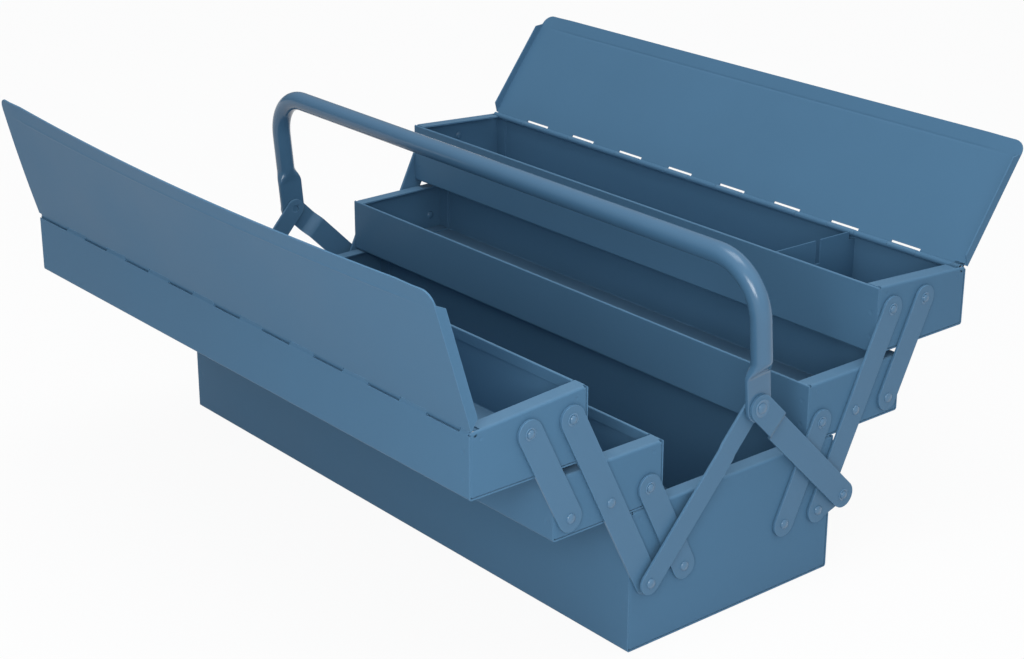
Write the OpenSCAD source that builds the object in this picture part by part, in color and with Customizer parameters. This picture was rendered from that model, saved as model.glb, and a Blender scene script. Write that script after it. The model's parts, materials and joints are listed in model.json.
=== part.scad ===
// Cantilever tool box, shown fully open. A sheet steel base carries two middle trays and two
// upper trays on folding arms, each upper tray has a hinged lid, and one tube handle is held
// by two links at each end. +X is the right end, -Y the front, +Z up, origin under the centre.

/* [Box] */
// Length over the end panels
box_length = 530; // [500:1:560]
// Depth of the base over its long walls
box_depth = 193; // [190:0.5:198]
// Height of the base
base_height = 103; // [101:0.5:103.4]
// Thickness of the long folded sheets
sheet = 1.0; // [0.8:0.1:1.2]
// Thickness of the end panels
end_sheet = 1.2; // [1.0:0.1:1.4]
// Width of the turned-in rims of the end panels
rim_width = 10; // [8:0.5:11]
// Depth of the flattened hems inside the top of the long walls
hem_depth = 7; // [5:0.5:9]
// Width of the weld flanges inside the corners
weld_flange = 12; // [9:0.5:14]
// Relief hole in the rim corners, radius
corner_hole = 1.4; // [1.0:0.1:1.6]

/* [Trays] */
// Depth of each tray over its long walls
tray_depth = 94.5; // [93.5:0.25:95]
// Height of the middle trays
middle_height = 43.6; // [42:0.2:46]
// Height of the middle tray rivets over the tray floor
middle_rivet_up = 13.7; // [13.2:0.1:14.2]
// Height of the upper tray rivets over the tray floor
upper_rivet_up = 31.9; // [30:0.1:33]
// Position of the divider in the rear tray along the length
divider_x = 160; // [100:5:180]
// Height of the divider
divider_height = 46; // [38:1:47]
// Width of the slot in the divider
divider_slot = 5; // [3:0.5:6]
// Distance from the inner tray wall to that slot
divider_slot_in = 50; // [40:1:55]
// Depth of that slot
divider_slot_deep = 20; // [12:1:24]
// Width of the foot that holds the divider
divider_foot = 10; // [8:1:14]

/* [Folding arms] */
// Distance between neighbouring rivets along an arm
arm_pitch = 75.3; // [75:0.05:75.6]
// Lean of the arms from upright when the box is open, in degrees
arm_lean = 26.2; // [26:0.05:26.4]
// Distance of the outer base rivets from the outside of the long walls
pivot_in = 14; // [13.5:0.1:14.5]
// Gap between the base rim and the middle trays above it when open
tray_over_base = 0.66; // [0.4:0.02:1.2]
// Distance between the two rivets that carry a pair of arms
pivot_spacing = 34.3; // [34:0.1:36]
// Width of the arms
arm_width = 19; // [17:0.25:19.5]
// Thickness of the arms
arm_sheet = 2; // [1.8:0.05:2.1]
// Width of the crank lobe on the rear long arms
lobe_width = 17; // [16:0.25:18]
// Crank rivet, sideways from the pivot of the rear long arm
crank_out = 21.4; // [21:0.1:22]
// Crank rivet, above the pivot of the rear long arm
crank_up = 6.7; // [6:0.1:7]

/* [Rivets] */
// Radius of the rivet shanks
rivet_radius = 3; // [2.8:0.05:3.1]
// Radius of the rivet heads
rivet_head = 4.4; // [4.2:0.05:4.7]
// Height of the rivet heads
rivet_dome = 1.7; // [1.4:0.05:1.75]
// Radius of the wide heads that hold the handle links
wide_head = 6.5; // [6.3:0.1:7]
// Radial gap of a rivet in a turning part
rivet_play = 0.05; // [0.03:0.01:0.08]
// Radial gap where the rear link sits loose on the handle rivet
link_play = 1.6; // [1.5:0.05:1.7]
// Gap between a panel and the arms beside it
arm_gap = 0.3; // [0.25:0.05:0.35]
// Gap between stacked turning parts
stack_gap = 0.1; // [0.08:0.01:0.12]
// Gap between the rivet heads and the links above them
link_gap = 0.3; // [0.25:0.05:0.35]

/* [Lids] */
// Length of each lid from the hinge pin to its free edge
lid_reach = 101.5; // [98:0.25:102]
// Lean of the open front lid from upright, in degrees
front_lid_lean = 14; // [10:0.5:20]
// Lean of the open rear lid from upright, in degrees
rear_lid_lean = 32; // [25:0.5:34]
// Slope of the tray ends and of the shut front lid, in degrees
lid_slope = 3.8; // [3.6:0.05:4]
// Depth of the flanges at the lid ends
lid_flange = 6; // [4:0.25:6.2]
// Gap between the end panels and the lid flanges
lid_side_gap = 0.4; // [0.3:0.05:0.5]
// Distance of the stiffening bead from the free edge
bead_in = 12; // [10:0.5:14]
// Radius of the stiffening bead
bead_radius = 1.1; // [0.9:0.05:1.2]
// Radius of the free corners of the lids
lid_corner = 9; // [6:0.5:12]
// Height of the hinge pin above the upper tray floor
hinge_up = 43.5; // [42.5:0.1:44]
// Radius of the hinge pins
pin_radius = 1.35; // [1.25:0.05:1.4]
// Radial gap of the hinge pin in the lid knuckles
pin_play = 0.08; // [0.05:0.01:0.09]
// Outside radius of the hinge knuckles
knuckle_radius = 2.5; // [2.45:0.05:2.6]
// Distance between hinge slots along the length
slot_pitch = 59.8; // [56:0.1:60]
// Width of the hinge slots
slot_width = 27.6; // [24:0.2:30]
// First hinge slot from the left end
slot_start = 42; // [38:0.5:44]
// Height of the hinge slots past the pin
slot_high = 4.6; // [4.4:0.1:6]
// Gap beside the hinge knuckles
knuckle_gap = 0.4; // [0.3:0.05:0.5]
// Gap between the hinge knuckles and the tray wall outside them
hinge_in = 0.3; // [0.25:0.05:0.4]
// How far the tray wall stops below the hinge pin
wall_drop = 0.85; // [0.85:0.05:1.5]

/* [Handle] */
// Handle rivet, toward the rear from the middle of the box
handle_y = 10; // [9.5:0.1:10.5]
// Height of the handle rivet
handle_z = 151.3; // [151:0.1:152]
// Height of the grip above the handle rivet
handle_height = 102; // [98:0.5:106]
// Radius of the handle tube
tube_radius = 7.5; // [7:0.1:7.6]
// Wall of the handle tube
tube_wall = 1.5; // [1.2:0.1:1.6]
// Radius of the bends in the handle
bend_radius = 37.5; // [30:0.5:45]
// Lean of the handle toward the front, in degrees
handle_lean = 5; // [0:0.5:8]
// Thickness of the flattened tube ends
flat_thick = 3.5; // [3.4:0.1:3.6]
// Width of the flattened tube ends
flat_width = 22; // [20:0.5:23]
// Length of the flattened part above the rivet
flat_high = 22; // [20:0.5:24]
// Height above the rivet where the tube is fully round
round_high = 36; // [34:0.5:40]
// Slit left inside the flattened ends
flat_slit = 0.5; // [0.4:0.05:0.6]
// How far the pressed ends stand over the round tube where they begin
press_ridge = 0.2; // [0.15:0.05:0.3]
// Gap between the round tube and the rivet heads
tube_gap = 0.4; // [0.3:0.05:0.6]
// Width of the front links
front_link_width = 16.5; // [15:0.25:17]
// Width of the rear links
rear_link_width = 19.5; // [19:0.25:20.5]
// Thickness of the links
link_sheet = 1.8; // [1.7:0.05:1.85]
// Distance from the handle rivet to the step in the rear links
step_start = 22; // [21:0.5:24]
// Length of that step
step_length = 10; // [9:0.5:12]

/* [Hidden] */

// number of sides of round parts
$fn = 48;
// number of sides of round ends that take part in a hull
hull_sides = 32;
// overrun of cutting shapes
over = 0.5;
half_length = box_length / 2;
half_depth = box_depth / 2;
reach = arm_pitch * sin(arm_lean);
rise = arm_pitch * cos(arm_lean);
// base rivets, rear side
pivot_y = half_depth - pivot_in;
pivot_z = base_height + tray_over_base + middle_rivet_up - rise;
// middle trays, rear side: walls, floor, rivets
mid_outer = half_depth + 2 * reach;
mid_inner = mid_outer - tray_depth;
mid_y = pivot_y + reach;
mid_z = pivot_z + rise;
mid_floor = mid_z - middle_rivet_up;
// upper trays, rear side
up_outer = half_depth + 4 * reach;
up_inner = up_outer - tray_depth;
up_y = mid_y + reach;
up_z = mid_z + rise;
up_floor = up_z - upper_rivet_up;
// hinge
hinge_y = up_outer - sheet - hinge_in - knuckle_radius;
hinge_z = up_floor + hinge_up;
pin_bore = pin_radius + pin_play;
lid_under = pin_bore;
lid_sheet = knuckle_radius - pin_bore;
panel_drop = lid_under - link_gap;
// top of the inner wall, under the slope of the ends by what the bead stands out of the lid
bead_out = bead_radius - lid_sheet / 2;
tray_rim_z = hinge_z + panel_drop + (hinge_y - up_inner - 2 * sheet) * tan(lid_slope) - bead_out;
// layers outside the end panels, measured from the middle plane
arm_in = half_length + arm_gap;
arm_out = arm_in + arm_sheet;
head_out = arm_out + stack_gap + rivet_dome;
link_in = head_out + link_gap;
link_out = link_in + link_sheet;
flat_in = link_out + 2 * stack_gap;
flat_out = flat_in + flat_thick;
cover_in = flat_out + 2 * stack_gap;
cover_out = cover_in + link_sheet;
tube_x = head_out + tube_gap + tube_radius;
end_in = half_length - end_sheet;
// the hems stop at the weld flanges of the end panels
hem_end = end_in - weld_flange;
crank_y = pivot_y + crank_out;
crank_z = pivot_z + crank_up;
// length of the rear link and its direction
link_dy = handle_y - crank_y;
link_dz = handle_z - crank_z;
link_long = sqrt(link_dy * link_dy + link_dz * link_dz);
link_angle = atan2(link_dz, link_dy);
enamel = [0.16, 0.31, 0.46];
enamel_dark = [0.13, 0.26, 0.39];
zinc = [0.55, 0.58, 0.62];

// a block given by its two opposite corners
module block(a, b) {
  translate(a)
    cube([b[0] - a[0], b[1] - a[1], b[2] - a[2]]);
}

// a cylinder along X from x0 to x1 at y, z
module rod(x0, x1, y, z, r, sides = 48) {
  translate([x0, y, z])
    rotate([0, 90, 0])
      cylinder(r = r, h = x1 - x0, $fn = sides);
}

// copies the rear side drawing to the front
module front() {
  mirror([0, 1, 0])
    children();
}

// copies the right end drawing to the left
module left() {
  mirror([1, 0, 0])
    children();
}

// base
module base_shell() {
  color(enamel) {
    block([-half_length, -half_depth, 0], [half_length, half_depth, sheet]);
    for (s = [0, 1])
      mirror([0, s, 0]) {
        block([-half_length, half_depth - sheet, 0],
          [half_length, half_depth, base_height]);
        block([-hem_end, half_depth - 2 * sheet, base_height - hem_depth],
          [hem_end, half_depth, base_height]);
      }
  }
}

module base_end() {
  in_y = half_depth - sheet;
  color(enamel)
    difference() {
      union() {
        block([end_in, -in_y, sheet], [half_length, in_y, base_height]);
        block([end_in - weld_flange, -in_y, sheet], [half_length, in_y, sheet + end_sheet]);
        for (s = [0, 1])
          mirror([0, s, 0])
            block([end_in - weld_flange, in_y - end_sheet, sheet],
              [half_length, in_y, base_height - sheet]);
        block([end_in - rim_width, -in_y, base_height - end_sheet],
          [half_length, in_y, base_height]);
      }
      for (s = [0, 1])
        mirror([0, s, 0]) {
          for (k = [0, 1])
            rod(end_in - over, half_length + over, pivot_y - k * pivot_spacing, pivot_z,
              rivet_radius);
          translate([end_in, in_y - corner_hole / 2, base_height - 2 * end_sheet])
            cylinder(r = corner_hole, h = 3 * end_sheet);
        }
    }
}

module base_right_end() {
  base_end();
}

module base_left_end() {
  left()
    base_end();
}

// trays, drawn on the rear side
module tray_holes(y_list, z) {
  for (y = y_list)
    rod(end_in - over, half_length + over, y, z, rivet_radius);
}

module middle_shell() {
  top = mid_floor + middle_height;
  color(enamel) {
    block([-half_length, mid_inner, mid_floor], [half_length, mid_outer, mid_floor + sheet]);
    block([-half_length, mid_inner, mid_floor], [half_length, mid_inner + sheet, top]);
    block([-half_length, mid_outer - sheet, mid_floor], [half_length, mid_outer, top]);
    block([-hem_end, mid_inner, top - hem_depth], [hem_end, mid_inner + 2 * sheet, top]);
    block([-hem_end, mid_outer - 2 * sheet, top - hem_depth], [hem_end, mid_outer, top]);
  }
}

module middle_end() {
  top = mid_floor + middle_height;
  y0 = mid_inner + sheet;
  y1 = mid_outer - sheet;
  low = mid_floor + sheet;
  color(enamel)
    difference() {
      union() {
        block([end_in, y0, low], [half_length, y1, top]);
        block([end_in - weld_flange, y0, low], [half_length, y1, low + end_sheet]);
        block([end_in - weld_flange, y0, low], [half_length, y0 + end_sheet, top - sheet]);
        block([end_in - weld_flange, y1 - end_sheet, low], [half_length, y1, top - sheet]);
        block([end_in - rim_width, y0, top - end_sheet], [half_length, y1, top]);
      }
      tray_holes([mid_y - pivot_spacing, mid_y, mid_y + pivot_spacing], mid_z);
      for (y = [y0 + corner_hole / 2, y1 - corner_hole / 2])
        translate([end_in, y, top - 2 * end_sheet])
          cylinder(r = corner_hole, h = 3 * end_sheet);
    }
}

// left edge of each hinge slot, from the middle plane
function slot_at(i) = -half_length + slot_start + i * slot_pitch;
slot_count = floor((box_length - slot_start) / slot_pitch);
knuckle_end = end_in - knuckle_gap;

module upper_shell() {
  wall_top = hinge_z - wall_drop;
  color(enamel)
    difference() {
      union() {
        block([-half_length, up_inner, up_floor], [half_length, up_outer, up_floor + sheet]);
        block([-half_length, up_inner, up_floor], [half_length, up_inner + sheet, tray_rim_z]);
        block([-half_length, up_outer - sheet, up_floor], [half_length, up_outer, wall_top]);
        block([-hem_end, up_inner, tray_rim_z - hem_depth],
          [hem_end, up_inner + 2 * sheet, tray_rim_z]);
        for (i = [0 : slot_count]) {
          x0 = slot_at(i) + knuckle_gap;
          x1 = min(slot_at(i) + slot_width - knuckle_gap, knuckle_end);
          if (x1 > x0 + sheet) {
            rod(x0, x1, hinge_y, hinge_z, knuckle_radius);
            block([x0, hinge_y, wall_top - sheet], [x1, up_outer, hinge_z]);
          }
        }
      }
      rod(-half_length, half_length, hinge_y, hinge_z, pin_radius);
    }
}

// height of the sloped top of the upper tray ends at y
function slope_z(y) = hinge_z + panel_drop + (hinge_y - y) * tan(lid_slope);

module upper_end() {
  y0 = up_inner + sheet;
  y1 = up_outer - sheet;
  y2 = hinge_y - 2 * knuckle_radius - knuckle_gap;
  low = up_floor + sheet;
  color(enamel)
    difference() {
      union() {
        translate([end_in, 0, 0])
          rotate([90, 0, 90])
            linear_extrude(height = end_sheet)
              polygon([[y0, low], [y1, low], [y1, slope_z(y1)], [y0, slope_z(y0)]]);
        block([end_in - weld_flange, y0, low], [half_length, y1, low + end_sheet]);
        block([end_in - weld_flange, y0, low], [half_length, y0 + end_sheet, tray_rim_z - sheet]);
        block([end_in - weld_flange, y1 - end_sheet, low],
          [half_length, y1, hinge_z - 2 * knuckle_radius]);
        translate([end_in - rim_width, 0, 0])
          rotate([90, 0, 90])
            linear_extrude(height = rim_width + end_sheet)
              polygon([[y0, slope_z(y0) - end_sheet], [y2, slope_z(y2) - end_sheet],
                [y2, slope_z(y2)], [y0, slope_z(y0)]]);
      }
      tray_holes([up_y, up_y + pivot_spacing], up_z);
      translate([end_in, y0 + corner_hole / 2, slope_z(y0) - 2 * end_sheet])
        cylinder(r = corner_hole, h = 3 * end_sheet);
    }
}

module hinge_pin() {
  color(zinc)
    rod(-end_in, end_in, hinge_y, hinge_z, pin_radius);
}

module front_middle_shell() {
  front()
    middle_shell();
}

module rear_middle_shell() {
  middle_shell();
}

module front_middle_right_end() {
  front()
    middle_end();
}

module front_middle_left_end() {
  left()
    front()
      middle_end();
}

module rear_middle_right_end() {
  middle_end();
}

module rear_middle_left_end() {
  left()
    middle_end();
}

module front_upper_shell() {
  front()
    upper_shell();
}

module rear_upper_shell() {
  upper_shell();
}

module front_upper_right_end() {
  front()
    upper_end();
}

module front_upper_left_end() {
  left()
    front()
      upper_end();
}

module rear_upper_right_end() {
  upper_end();
}

module rear_upper_left_end() {
  left()
    upper_end();
}

module front_hinge_pin() {
  front()
    hinge_pin();
}

module rear_hinge_pin() {
  hinge_pin();
}

module rear_tray_divider() {
  y0 = up_inner + sheet;
  y1 = up_outer - sheet;
  low = up_floor + sheet;
  top = low + divider_height;
  under_hem = tray_rim_z - hem_depth - sheet;
  color(enamel_dark)
    difference() {
      union() {
        translate([divider_x, 0, 0])
          rotate([90, 0, 90])
            linear_extrude(height = sheet)
              polygon([[y0, low], [y1, low], [y1, hinge_z - 2 * knuckle_radius],
                [y1 - 2 * knuckle_radius - 2 * sheet, hinge_z - 2 * knuckle_radius],
                [y1 - 2 * knuckle_radius - 2 * sheet, top - sheet * 2],
                [y0 + 2 * sheet, top], [y0 + 2 * sheet, under_hem], [y0, under_hem]]);
        block([divider_x, y0, low], [divider_x + divider_foot, y1, low + sheet]);
      }
      block([divider_x - over, up_inner + divider_slot_in, top - divider_slot_deep],
        [divider_x + sheet + over, up_inner + divider_slot_in + divider_slot, top + over]);
    }
}

// lids, drawn shut and level with the hinge pin on the X axis, reaching toward -Y
module lid_flat() {
  wide = half_length + lid_side_gap + lid_sheet;
  side = wide - lid_sheet;
  start = knuckle_radius + 2 * knuckle_gap;
  color(enamel)
    difference() {
      union() {
        translate([0, 0, lid_under])
          linear_extrude(height = lid_sheet) {
            polygon([[-knuckle_end, 0], [knuckle_end, 0], [knuckle_end, -start - sheet],
              [-knuckle_end, -start - sheet]]);
            polygon([[-wide, -start], [wide, -start], [wide, lid_corner - lid_reach],
              [-wide, lid_corner - lid_reach]]);
            polygon([[-wide + lid_corner, -start], [wide - lid_corner, -start],
              [wide - lid_corner, -lid_reach], [-wide + lid_corner, -lid_reach]]);
            for (s = [-1, 1])
              translate([s * (wide - lid_corner), lid_corner - lid_reach])
                circle(r = lid_corner);
          }
        for (s = [0, 1])
          mirror([s, 0, 0])
            translate([side, 0, 0])
              rotate([90, 0, 90])
                linear_extrude(height = lid_sheet)
                  polygon([[-start, lid_under], [-start - lid_flange, lid_under - lid_flange],
                    [lid_corner + lid_flange / 2 - lid_reach, lid_under - lid_flange],
                    [lid_corner - lid_reach, lid_under], [lid_corner - lid_reach, lid_under + lid_sheet],
                    [-start, lid_under + lid_sheet]]);
        rod(-side + 2 * lid_corner, side - 2 * lid_corner, bead_in - lid_reach,
          lid_under + lid_sheet / 2, bead_radius);
        rod(-knuckle_end, knuckle_end, 0, 0, knuckle_radius);
      }
      rod(-half_length, half_length, 0, 0, pin_bore);
      for (i = [0 : slot_count])
        block([slot_at(i), -slot_high, -knuckle_radius - over],
          [min(slot_at(i) + slot_width, knuckle_end + over), knuckle_radius + over,
            knuckle_radius + over]);
    }
}

module front_lid() {
  front()
    translate([0, hinge_y, hinge_z])
      rotate([-90 - front_lid_lean, 0, 0])
        lid_flat();
}

module rear_lid() {
  translate([0, hinge_y, hinge_z])
    rotate([-90 - rear_lid_lean, 0, 0])
      lid_flat();
}

// arms, drawn on the rear side at the right end
module bar(y0, z0, y1, z1, width) {
  hull() {
    rod(arm_in, arm_out, y0, z0, width / 2, hull_sides);
    rod(arm_in, arm_out, y1, z1, width / 2, hull_sides);
  }
}

module arm_bore(y, z) {
  rod(arm_in - over, arm_out + over, y, z, rivet_radius + rivet_play);
}

module long_arm() {
  color(enamel)
    difference() {
      bar(pivot_y, pivot_z, up_y, up_z, arm_width);
      arm_bore(pivot_y, pivot_z);
      arm_bore(mid_y, mid_z);
      arm_bore(up_y, up_z);
    }
}

module crank_arm() {
  color(enamel)
    difference() {
      union() {
        bar(pivot_y, pivot_z, up_y, up_z, arm_width);
        bar(pivot_y, pivot_z, crank_y, crank_z, lobe_width);
      }
      arm_bore(pivot_y, pivot_z);
      arm_bore(mid_y, mid_z);
      arm_bore(up_y, up_z);
      rod(arm_in - over, arm_out + over, crank_y, crank_z, rivet_radius);
    }
}

module lower_arm() {
  color(enamel)
    difference() {
      bar(pivot_y - pivot_spacing, pivot_z, mid_y - pivot_spacing, mid_z, arm_width);
      arm_bore(pivot_y - pivot_spacing, pivot_z);
      arm_bore(mid_y - pivot_spacing, mid_z);
    }
}

module upper_arm() {
  color(enamel)
    difference() {
      bar(mid_y + pivot_spacing, mid_z, up_y + pivot_spacing, up_z, arm_width);
      arm_bore(mid_y + pivot_spacing, mid_z);
      arm_bore(up_y + pivot_spacing, up_z);
    }
}

module front_right_long_arm() {
  front()
    long_arm();
}

module front_left_long_arm() {
  left()
    front()
      long_arm();
}

module rear_right_long_arm() {
  crank_arm();
}

module rear_left_long_arm() {
  left()
    crank_arm();
}

module front_right_lower_arm() {
  front()
    lower_arm();
}

module front_left_lower_arm() {
  left()
    front()
      lower_arm();
}

module rear_right_lower_arm() {
  lower_arm();
}

module rear_left_lower_arm() {
  left()
    lower_arm();
}

module front_right_upper_arm() {
  front()
    upper_arm();
}

module front_left_upper_arm() {
  left()
    front()
      upper_arm();
}

module rear_right_upper_arm() {
  upper_arm();
}

module rear_left_upper_arm() {
  left()
    upper_arm();
}

// rivets at the right end, drawn along X
// low dome that starts at x and stands out to the right
module dome(x, y, z, r) {
  translate([x, y, z])
    rotate([0, 90, 0])
      cylinder(r1 = r, r2 = r / 2, h = rivet_dome);
}

// rivet through a panel and one arm
module arm_rivet(y, z) {
  rod(end_in - rivet_dome, end_in, y, z, rivet_head);
  rod(end_in - rivet_dome, arm_out + 2 * stack_gap, y, z, rivet_radius);
  rod(half_length, arm_in - stack_gap, y, z, rivet_head);
  dome(arm_out + stack_gap, y, z, rivet_head);
}

// rivet through a panel, one arm and a link above it
module link_rivet(y, z) {
  rod(end_in - rivet_dome, end_in, y, z, rivet_head);
  rod(end_in - rivet_dome, link_out + 2 * stack_gap, y, z, rivet_radius);
  rod(half_length, arm_in - stack_gap, y, z, rivet_head);
  rod(arm_out + stack_gap, link_in - stack_gap, y, z, rivet_head);
  dome(link_out + stack_gap, y, z, rivet_head);
}

module both_ends() {
  children();
  left()
    children();
}

module base_pivot_rivets() {
  color(enamel)
    both_ends() {
      front() {
        link_rivet(pivot_y, pivot_z);
        arm_rivet(pivot_y - pivot_spacing, pivot_z);
      }
      arm_rivet(pivot_y, pivot_z);
      arm_rivet(pivot_y - pivot_spacing, pivot_z);
    }
}

module middle_rivets() {
  color(enamel)
    both_ends() {
      arm_rivet(mid_y - pivot_spacing, mid_z);
      arm_rivet(mid_y, mid_z);
      arm_rivet(mid_y + pivot_spacing, mid_z);
    }
}

module upper_rivets() {
  color(enamel)
    both_ends() {
      arm_rivet(up_y, up_z);
      arm_rivet(up_y + pivot_spacing, up_z);
    }
}

module front_middle_rivets() {
  front()
    middle_rivets();
}

module rear_middle_rivets() {
  middle_rivets();
}

module front_upper_rivets() {
  front()
    upper_rivets();
}

module rear_upper_rivets() {
  upper_rivets();
}

// rivets fixed in the lobes of the rear long arms
module crank_rivets() {
  color(enamel)
    both_ends() {
      rod(arm_in, link_out + 2 * stack_gap, crank_y, crank_z, rivet_radius);
      rod(arm_out, link_in - stack_gap, crank_y, crank_z, rivet_head);
      dome(link_out + stack_gap, crank_y, crank_z, rivet_head);
    }
}

// rivets fixed in the front links that carry the handle
module handle_rivets() {
  color(enamel)
    both_ends() {
      rod(link_in, cover_out + 2 * stack_gap, handle_y, handle_z, rivet_radius);
      dome(cover_out + stack_gap, handle_y, handle_z, wide_head);
    }
}

// links at the right end
module front_link() {
  color(enamel)
    difference() {
      hull() {
        rod(link_in, link_out, -pivot_y, pivot_z, front_link_width / 2, hull_sides);
        rod(link_in, link_out, handle_y, handle_z, front_link_width / 2, hull_sides);
      }
      rod(link_in - over, link_out + over, -pivot_y, pivot_z, rivet_radius + rivet_play);
      rod(link_in - over, link_out + over, handle_y, handle_z, rivet_radius);
    }
}

module rear_link() {
  r = rear_link_width / 2;
  t0 = link_long - step_start - step_length;
  t1 = link_long - step_start;
  color(enamel)
    translate([0, crank_y, crank_z])
      rotate([link_angle, 0, 0])
        difference() {
          intersection() {
            translate([0, 0, -r])
              linear_extrude(height = 2 * r)
                polygon([[link_in, -r], [link_out, -r], [link_out, t0],
                  [cover_out, t1], [cover_out, link_long + r], [cover_in, link_long + r],
                  [cover_in, t1], [link_in, t0]]);
            hull() {
              rod(link_in - over, cover_out + over, 0, 0, r, hull_sides);
              rod(link_in - over, cover_out + over, link_long, 0, r, hull_sides);
            }
          }
          rod(link_in - over, link_out + over, 0, 0, rivet_radius + rivet_play);
          rod(cover_in - over, cover_out + over, link_long, 0, rivet_radius + link_play);
        }
}

module right_front_link() {
  front_link();
}

module left_front_link() {
  left()
    front_link();
}

module right_rear_link() {
  rear_link();
}

module left_rear_link() {
  left()
    rear_link();
}

// handle, drawn upright with its rivets on the X axis
module tube_line(r) {
  straight = handle_height - bend_radius;
  for (s = [0, 1])
    mirror([s, 0, 0]) {
      translate([tube_x, 0, round_high])
        cylinder(r = r, h = straight - round_high);
      translate([tube_x - bend_radius, 0, straight])
        rotate([90, 0, 0])
          rotate_extrude(angle = 90)
            translate([bend_radius, 0])
              circle(r = r);
    }
  rod(bend_radius - tube_x, tube_x - bend_radius, 0, handle_height, r);
}

// one tube end: round at the top, pressed flat toward the rivet
module flat_end(r, x0, x1, half_width, low) {
  mid = (x0 + x1) / 2;
  thin = (x1 - x0) / 2;
  hull() {
    translate([tube_x, 0, round_high])
      cylinder(r = r + press_ridge, h = over, $fn = hull_sides);
    for (s = [-1, 1])
      translate([mid, s * (half_width - thin), flat_high])
        cylinder(r = thin, h = over, $fn = hull_sides);
  }
  block([x0, -half_width + thin, low], [x1, half_width - thin, flat_high + over]);
}

module carry_handle() {
  w = flat_width / 2;
  gap_in = (flat_in + flat_out - flat_slit) / 2;
  gap_out = (flat_in + flat_out + flat_slit) / 2;
  color(enamel_dark)
    translate([0, handle_y, handle_z])
      rotate([handle_lean, 0, 0])
        difference() {
          union() {
            tube_line(tube_radius);
            both_ends() {
              flat_end(tube_radius, flat_in, flat_out, w, 0);
              block([flat_in, -w, 0], [flat_out, w, flat_high]);
              rod(flat_in, flat_out, 0, 0, w);
            }
          }
          tube_line(tube_radius - tube_wall);
          both_ends() {
            flat_end(tube_radius - tube_wall, gap_in, gap_out, w - tube_wall, -w - over);
            rod(flat_in - over, flat_out + over, 0, 0, rivet_radius + rivet_play);
          }
        }
}

base_shell();
base_left_end();
base_right_end();
base_pivot_rivets();
front_middle_shell();
front_middle_left_end();
front_middle_right_end();
front_middle_rivets();
rear_middle_shell();
rear_middle_left_end();
rear_middle_right_end();
rear_middle_rivets();
front_upper_shell();
front_upper_left_end();
front_upper_right_end();
front_upper_rivets();
front_hinge_pin();
rear_upper_shell();
rear_upper_left_end();
rear_upper_right_end();
rear_upper_rivets();
rear_hinge_pin();
rear_tray_divider();
front_lid();
rear_lid();
front_left_long_arm();
front_right_long_arm();
rear_left_long_arm();
rear_right_long_arm();
front_left_lower_arm();
front_right_lower_arm();
rear_left_lower_arm();
rear_right_lower_arm();
front_left_upper_arm();
front_right_upper_arm();
rear_left_upper_arm();
rear_right_upper_arm();
crank_rivets();
left_front_link();
right_front_link();
handle_rivets();
left_rear_link();
right_rear_link();
carry_handle();
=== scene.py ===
# %% [markdown]
# # A cantilever tool box in blue enamel
# The real box is folded from thin steel sheet, riveted together and sprayed in one blue enamel.
# The imported model already has every part at its true size and place, so this script only dresses it:
# each sheet, strap, rivet and tube is built again with rounded bends and fine edges, and painted.
# Every new piece rides on the body of the part that it stands for.

# %% Load the frame
import json
import math
import bmesh
import bpy
from mathutils import Matrix, Vector


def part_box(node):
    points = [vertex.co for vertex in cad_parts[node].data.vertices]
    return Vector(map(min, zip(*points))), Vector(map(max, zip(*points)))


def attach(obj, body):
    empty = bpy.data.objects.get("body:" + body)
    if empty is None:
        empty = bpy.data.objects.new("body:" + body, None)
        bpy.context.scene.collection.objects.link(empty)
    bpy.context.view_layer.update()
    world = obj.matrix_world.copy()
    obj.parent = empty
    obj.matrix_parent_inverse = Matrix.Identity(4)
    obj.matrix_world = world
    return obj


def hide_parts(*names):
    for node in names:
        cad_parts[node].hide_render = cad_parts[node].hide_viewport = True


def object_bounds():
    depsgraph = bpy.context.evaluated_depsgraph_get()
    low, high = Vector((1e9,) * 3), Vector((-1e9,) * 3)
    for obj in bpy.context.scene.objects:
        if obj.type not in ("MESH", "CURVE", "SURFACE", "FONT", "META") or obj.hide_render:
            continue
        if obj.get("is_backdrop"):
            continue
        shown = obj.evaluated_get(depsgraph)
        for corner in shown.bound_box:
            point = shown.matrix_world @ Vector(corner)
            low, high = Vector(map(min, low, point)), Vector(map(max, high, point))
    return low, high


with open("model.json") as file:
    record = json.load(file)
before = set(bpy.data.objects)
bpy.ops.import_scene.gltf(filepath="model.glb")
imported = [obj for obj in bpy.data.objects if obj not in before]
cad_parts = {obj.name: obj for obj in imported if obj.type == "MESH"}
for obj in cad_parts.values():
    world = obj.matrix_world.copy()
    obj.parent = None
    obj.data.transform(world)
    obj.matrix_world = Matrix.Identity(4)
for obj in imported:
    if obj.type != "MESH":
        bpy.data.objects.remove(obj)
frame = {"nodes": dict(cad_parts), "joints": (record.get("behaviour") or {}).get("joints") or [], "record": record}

cad_corners = [list(corner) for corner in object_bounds()]
joint_at = {joint["name"]: Vector(joint["pos_m"]) for joint in frame["joints"]}
print("parts in the frame:", len(frame["nodes"]), "joints:", len(joint_at))


def in_scene(name, data):
    """A new object of the scene that holds this data."""
    made = bpy.data.objects.new(name, data)
    bpy.context.scene.collection.objects.link(made)
    return made


# %% [markdown]
# ## Camera
# The view was measured from the photograph by matching corners and rivets of the box. That gives the
# place of the camera, the way it looks, and where the straight-ahead ray meets the picture. The picture
# was cropped off centre, so the camera gets a small shift instead of a turn, which keeps upright
# edges at the right slant.

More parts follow.
